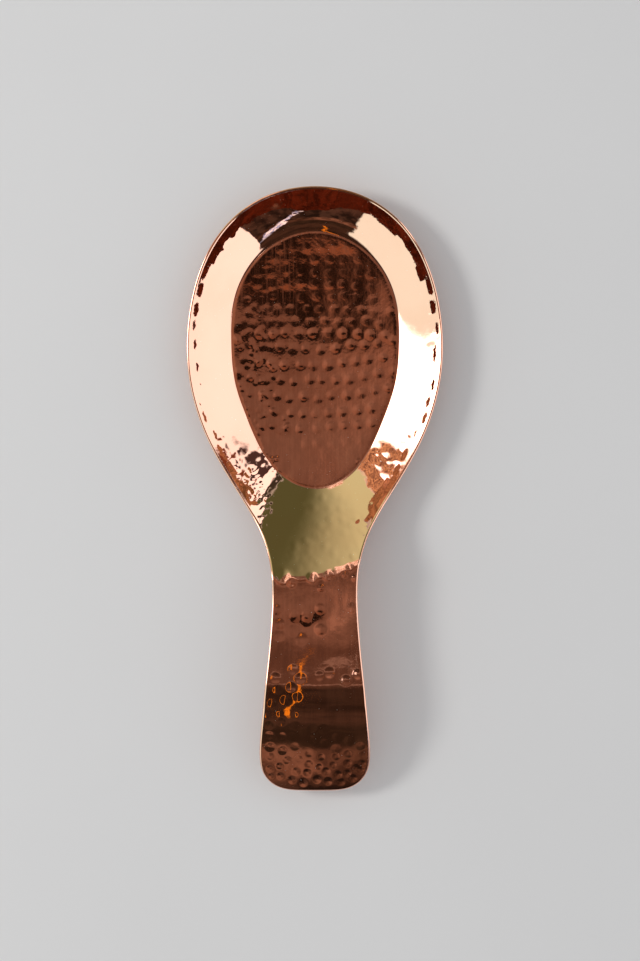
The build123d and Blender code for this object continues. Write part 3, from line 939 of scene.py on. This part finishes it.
def add_amber_light(colour, early):
    """Narrow amber light to the left, over the handle."""
    centre = (along.ramp(over=(-0.046, -0.076), to=(-0.003, -0.047), kind="LINEAR")
              + along.ramp(over=(-0.33, -0.62), to=(0.0, -0.07), kind="LINEAR"))
    centre = centre + wobble(0.03, scale=30.0)
    inner, outer = (along.ramp(over=(-0.064, -0.074), to=to)
                    for to in ((0.0006, 0.0055), (0.0026, 0.0125)))
    mask = abs(across - centre).fall(over=(inner, outer))
    dip = along.ramp(over=(-0.100, -0.115)) * along.ramp(over=(-0.165, -0.145))
    mask = mask * (1.0 - 0.3 * dip)
    mask = mask * early * (along.ramp(over=(-0.048, -0.06)) * along.fall(over=(-0.75, -0.95)))
    return (mask * (up > 0.3)).mix(colour, high=(1.0, 0.36, 0.02))


def add_lamp(colour):
    """Small lamp to the right of the amber light."""
    centre = 0.165 + wobble(0.04, scale=30.0)
    mask = (abs(across - centre).fall(over=(0.014, 0.024))
            * abs(along + 0.105).fall(over=(0.018, 0.030)))
    return (mask * (up > overhead)).mix(colour, high=(1.7, 1.5, 1.4))


def add_late_bounces(colour, early):
    """Mottled colour that mostly replaces the studio for deeper rays."""
    late = along.ramp(over=(0.15, 0.35)).mix(low=(0.060, 0.018, 0.009),
                                             high=(0.30, 0.27, 0.17))
    late = late.tint(direction.noise(scale=17.0, detail=4.0, rough=0.7).ramp(
        over=(0.36, 0.66), to=(0.45, 2.3)))
    return ((1.0 - early) * 0.8).mix(colour, late)


def build_studio():
    """Glossy rays see the painted studio, all others a soft even light."""
    early = source(sky, "ShaderNodeLightPath", "Ray Depth") < 2.5
    ceiling_edge = (azimuth.ramp(over=(70.0, 112.0), to=(66.0, 42.0))
                    + azimuth.ramp(over=(140.0, 170.0), to=(0.0, 12.0)))
    colour = (elevation - ceiling_edge).ramp(over=(-4.0, 4.0)).mix(walls(), ceiling())
    colour = add_shine(colour)
    colour = add_cold_line(colour)
    colour = add_dark_patch(colour)
    colour = add_pale_strip(colour)
    colour = add_amber_light(colour, early)
    colour = add_lamp(colour)
    colour = add_late_bounces(colour, early)
    painted = direction.derive("ShaderNodeBackground", {"Color": colour})
    soft = direction.derive("ShaderNodeBackground",
                            {"Color": (0.96, 0.97, 1.0), "Strength": 0.62})
    glossy = source(sky, "ShaderNodeLightPath", "Is Glossy Ray")
    seen = direction.derive("ShaderNodeMixShader", {0: glossy, 1: soft, 2: painted})
    add_node(sky, "ShaderNodeOutputWorld", {"Surface": seen})


def build_key_light():
    """Disk light from the left, hidden from the camera and the reflections."""
    light = bpy.data.lights.new("key", "AREA")
    light.shape = "DISK"
    light.size = 0.42
    light.energy = 9.0
    light.color = (1.0, 0.985, 0.96)
    made = add_object("key", light)
    height, heading = math.radians(44), math.radians(170)
    distance = 1.7
    towards = Vector((math.cos(height) * math.cos(heading),
                      math.cos(height) * math.sin(heading), math.sin(height)))
    target = Vector((0, -0.055, 0.0))
    made.location = target + towards * distance
    made.rotation_euler = towards.to_track_quat("Z", "Y").to_euler()
    made.visible_camera = False
    made.visible_glossy = False


def build_camera():
    """Looks straight down."""
    camera = bpy.data.cameras.new("camera")
    camera.lens = 99.24
    camera.sensor_width = 36.0
    camera.sensor_fit = "AUTO"
    camera.clip_start = 0.01
    made = add_object("camera", camera)
    made.location = (0.0021, -0.0563, 1.1)
    made.rotation_euler = (0.0, 0.0, 0.0)
    bpy.context.scene.camera = made


build_studio()
build_key_light()
build_camera()
bpy.context.scene.view_settings.view_transform = "Standard"
